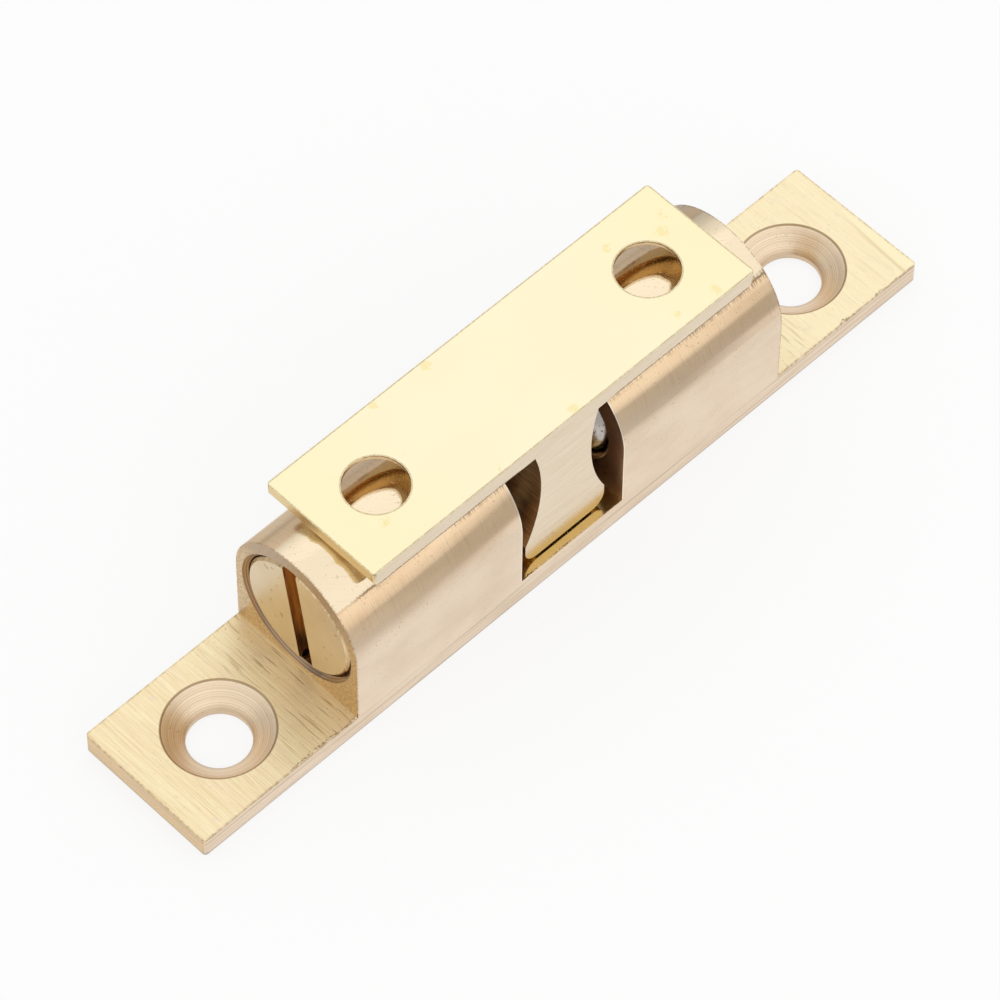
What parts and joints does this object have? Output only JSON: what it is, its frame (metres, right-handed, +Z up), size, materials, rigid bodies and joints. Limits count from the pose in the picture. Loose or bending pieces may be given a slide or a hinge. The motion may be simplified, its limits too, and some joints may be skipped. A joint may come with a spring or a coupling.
{
  "type": "ball catch",
  "caption": "Brass ball catch: a slotted, round-topped housing with sprung steel balls and adjusting screws grips the waisted tongue of a separate strike plate.",
  "frame": {"origin": "centre of the base's underside", "axes": "+X along the base and the ball axis, +Y across the base, +Z up from the base to the strike plate"},
  "size_m": [0.06, 0.0104, 0.0136],
  "materials": {
    "housing_brass": "machined and lightly brushed, uncoated",
    "screw_brass": "turned and faced",
    "strike_brass": "smooth plate face, brushed edges and tongue",
    "ball_steel": "polished bearing steel",
    "spring_steel": "drawn spring wire"
  },
  "bodies": {
    "catch": {"body": "housing_brass"},
    "left_ball": {"left_ball": "ball_steel"},
    "right_ball": {"right_ball": "ball_steel"},
    "left_feed": {"left_spring": "spring_steel"},
    "right_feed": {"right_spring": "spring_steel"},
    "left_screw": {"left_adjusting_screw": "screw_brass"},
    "right_screw": {"right_adjusting_screw": "screw_brass"},
    "strike": {"strike": "strike_brass"}
  },
  "joints": [
    {"name": "strike_lift", "type": "slide", "parent": "catch", "child": "strike", "axis": [0, 0, 1], "range_m": [0, 0.045]},
    {"name": "left_ball_slide", "type": "slide", "parent": "catch", "child": "left_ball", "axis": [-1, 0, 0], "range_m": [0, 0.0012], "stiffness_N_per_m": 4000, "deforming": ["left_spring"]},
    {"name": "right_ball_slide", "type": "slide", "parent": "catch", "child": "right_ball", "axis": [1, 0, 0], "range_m": [0, 0.0012], "stiffness_N_per_m": 4000, "deforming": ["right_spring"]},
    {"name": "left_screw_feed", "type": "slide", "parent": "catch", "child": "left_feed", "axis": [1, 0, 0], "range_m": [-0.00075, 0.00075], "deforming": ["left_spring"]},
    {"name": "left_screw_turn", "type": "hinge", "parent": "left_feed", "child": "left_screw", "pos_m": [-0.0176, 0, 0.00645], "axis": [1, 0, 0], "range_deg": [-360, 360]},
    {"name": "right_screw_feed", "type": "slide", "parent": "catch", "child": "right_feed", "axis": [-1, 0, 0], "range_m": [-0.00075, 0.00075], "deforming": ["right_spring"]},
    {"name": "right_screw_turn", "type": "hinge", "parent": "right_feed", "child": "right_screw", "pos_m": [0.0176, 0, 0.00645], "axis": [-1, 0, 0], "range_deg": [-360, 360]}
  ],
  "couplings": [
    {"joint": "left_screw_turn", "follows": "left_screw_feed", "rad_per_m": 8377.6},
    {"joint": "right_screw_turn", "follows": "right_screw_feed", "rad_per_m": 8377.6}
  ]
}
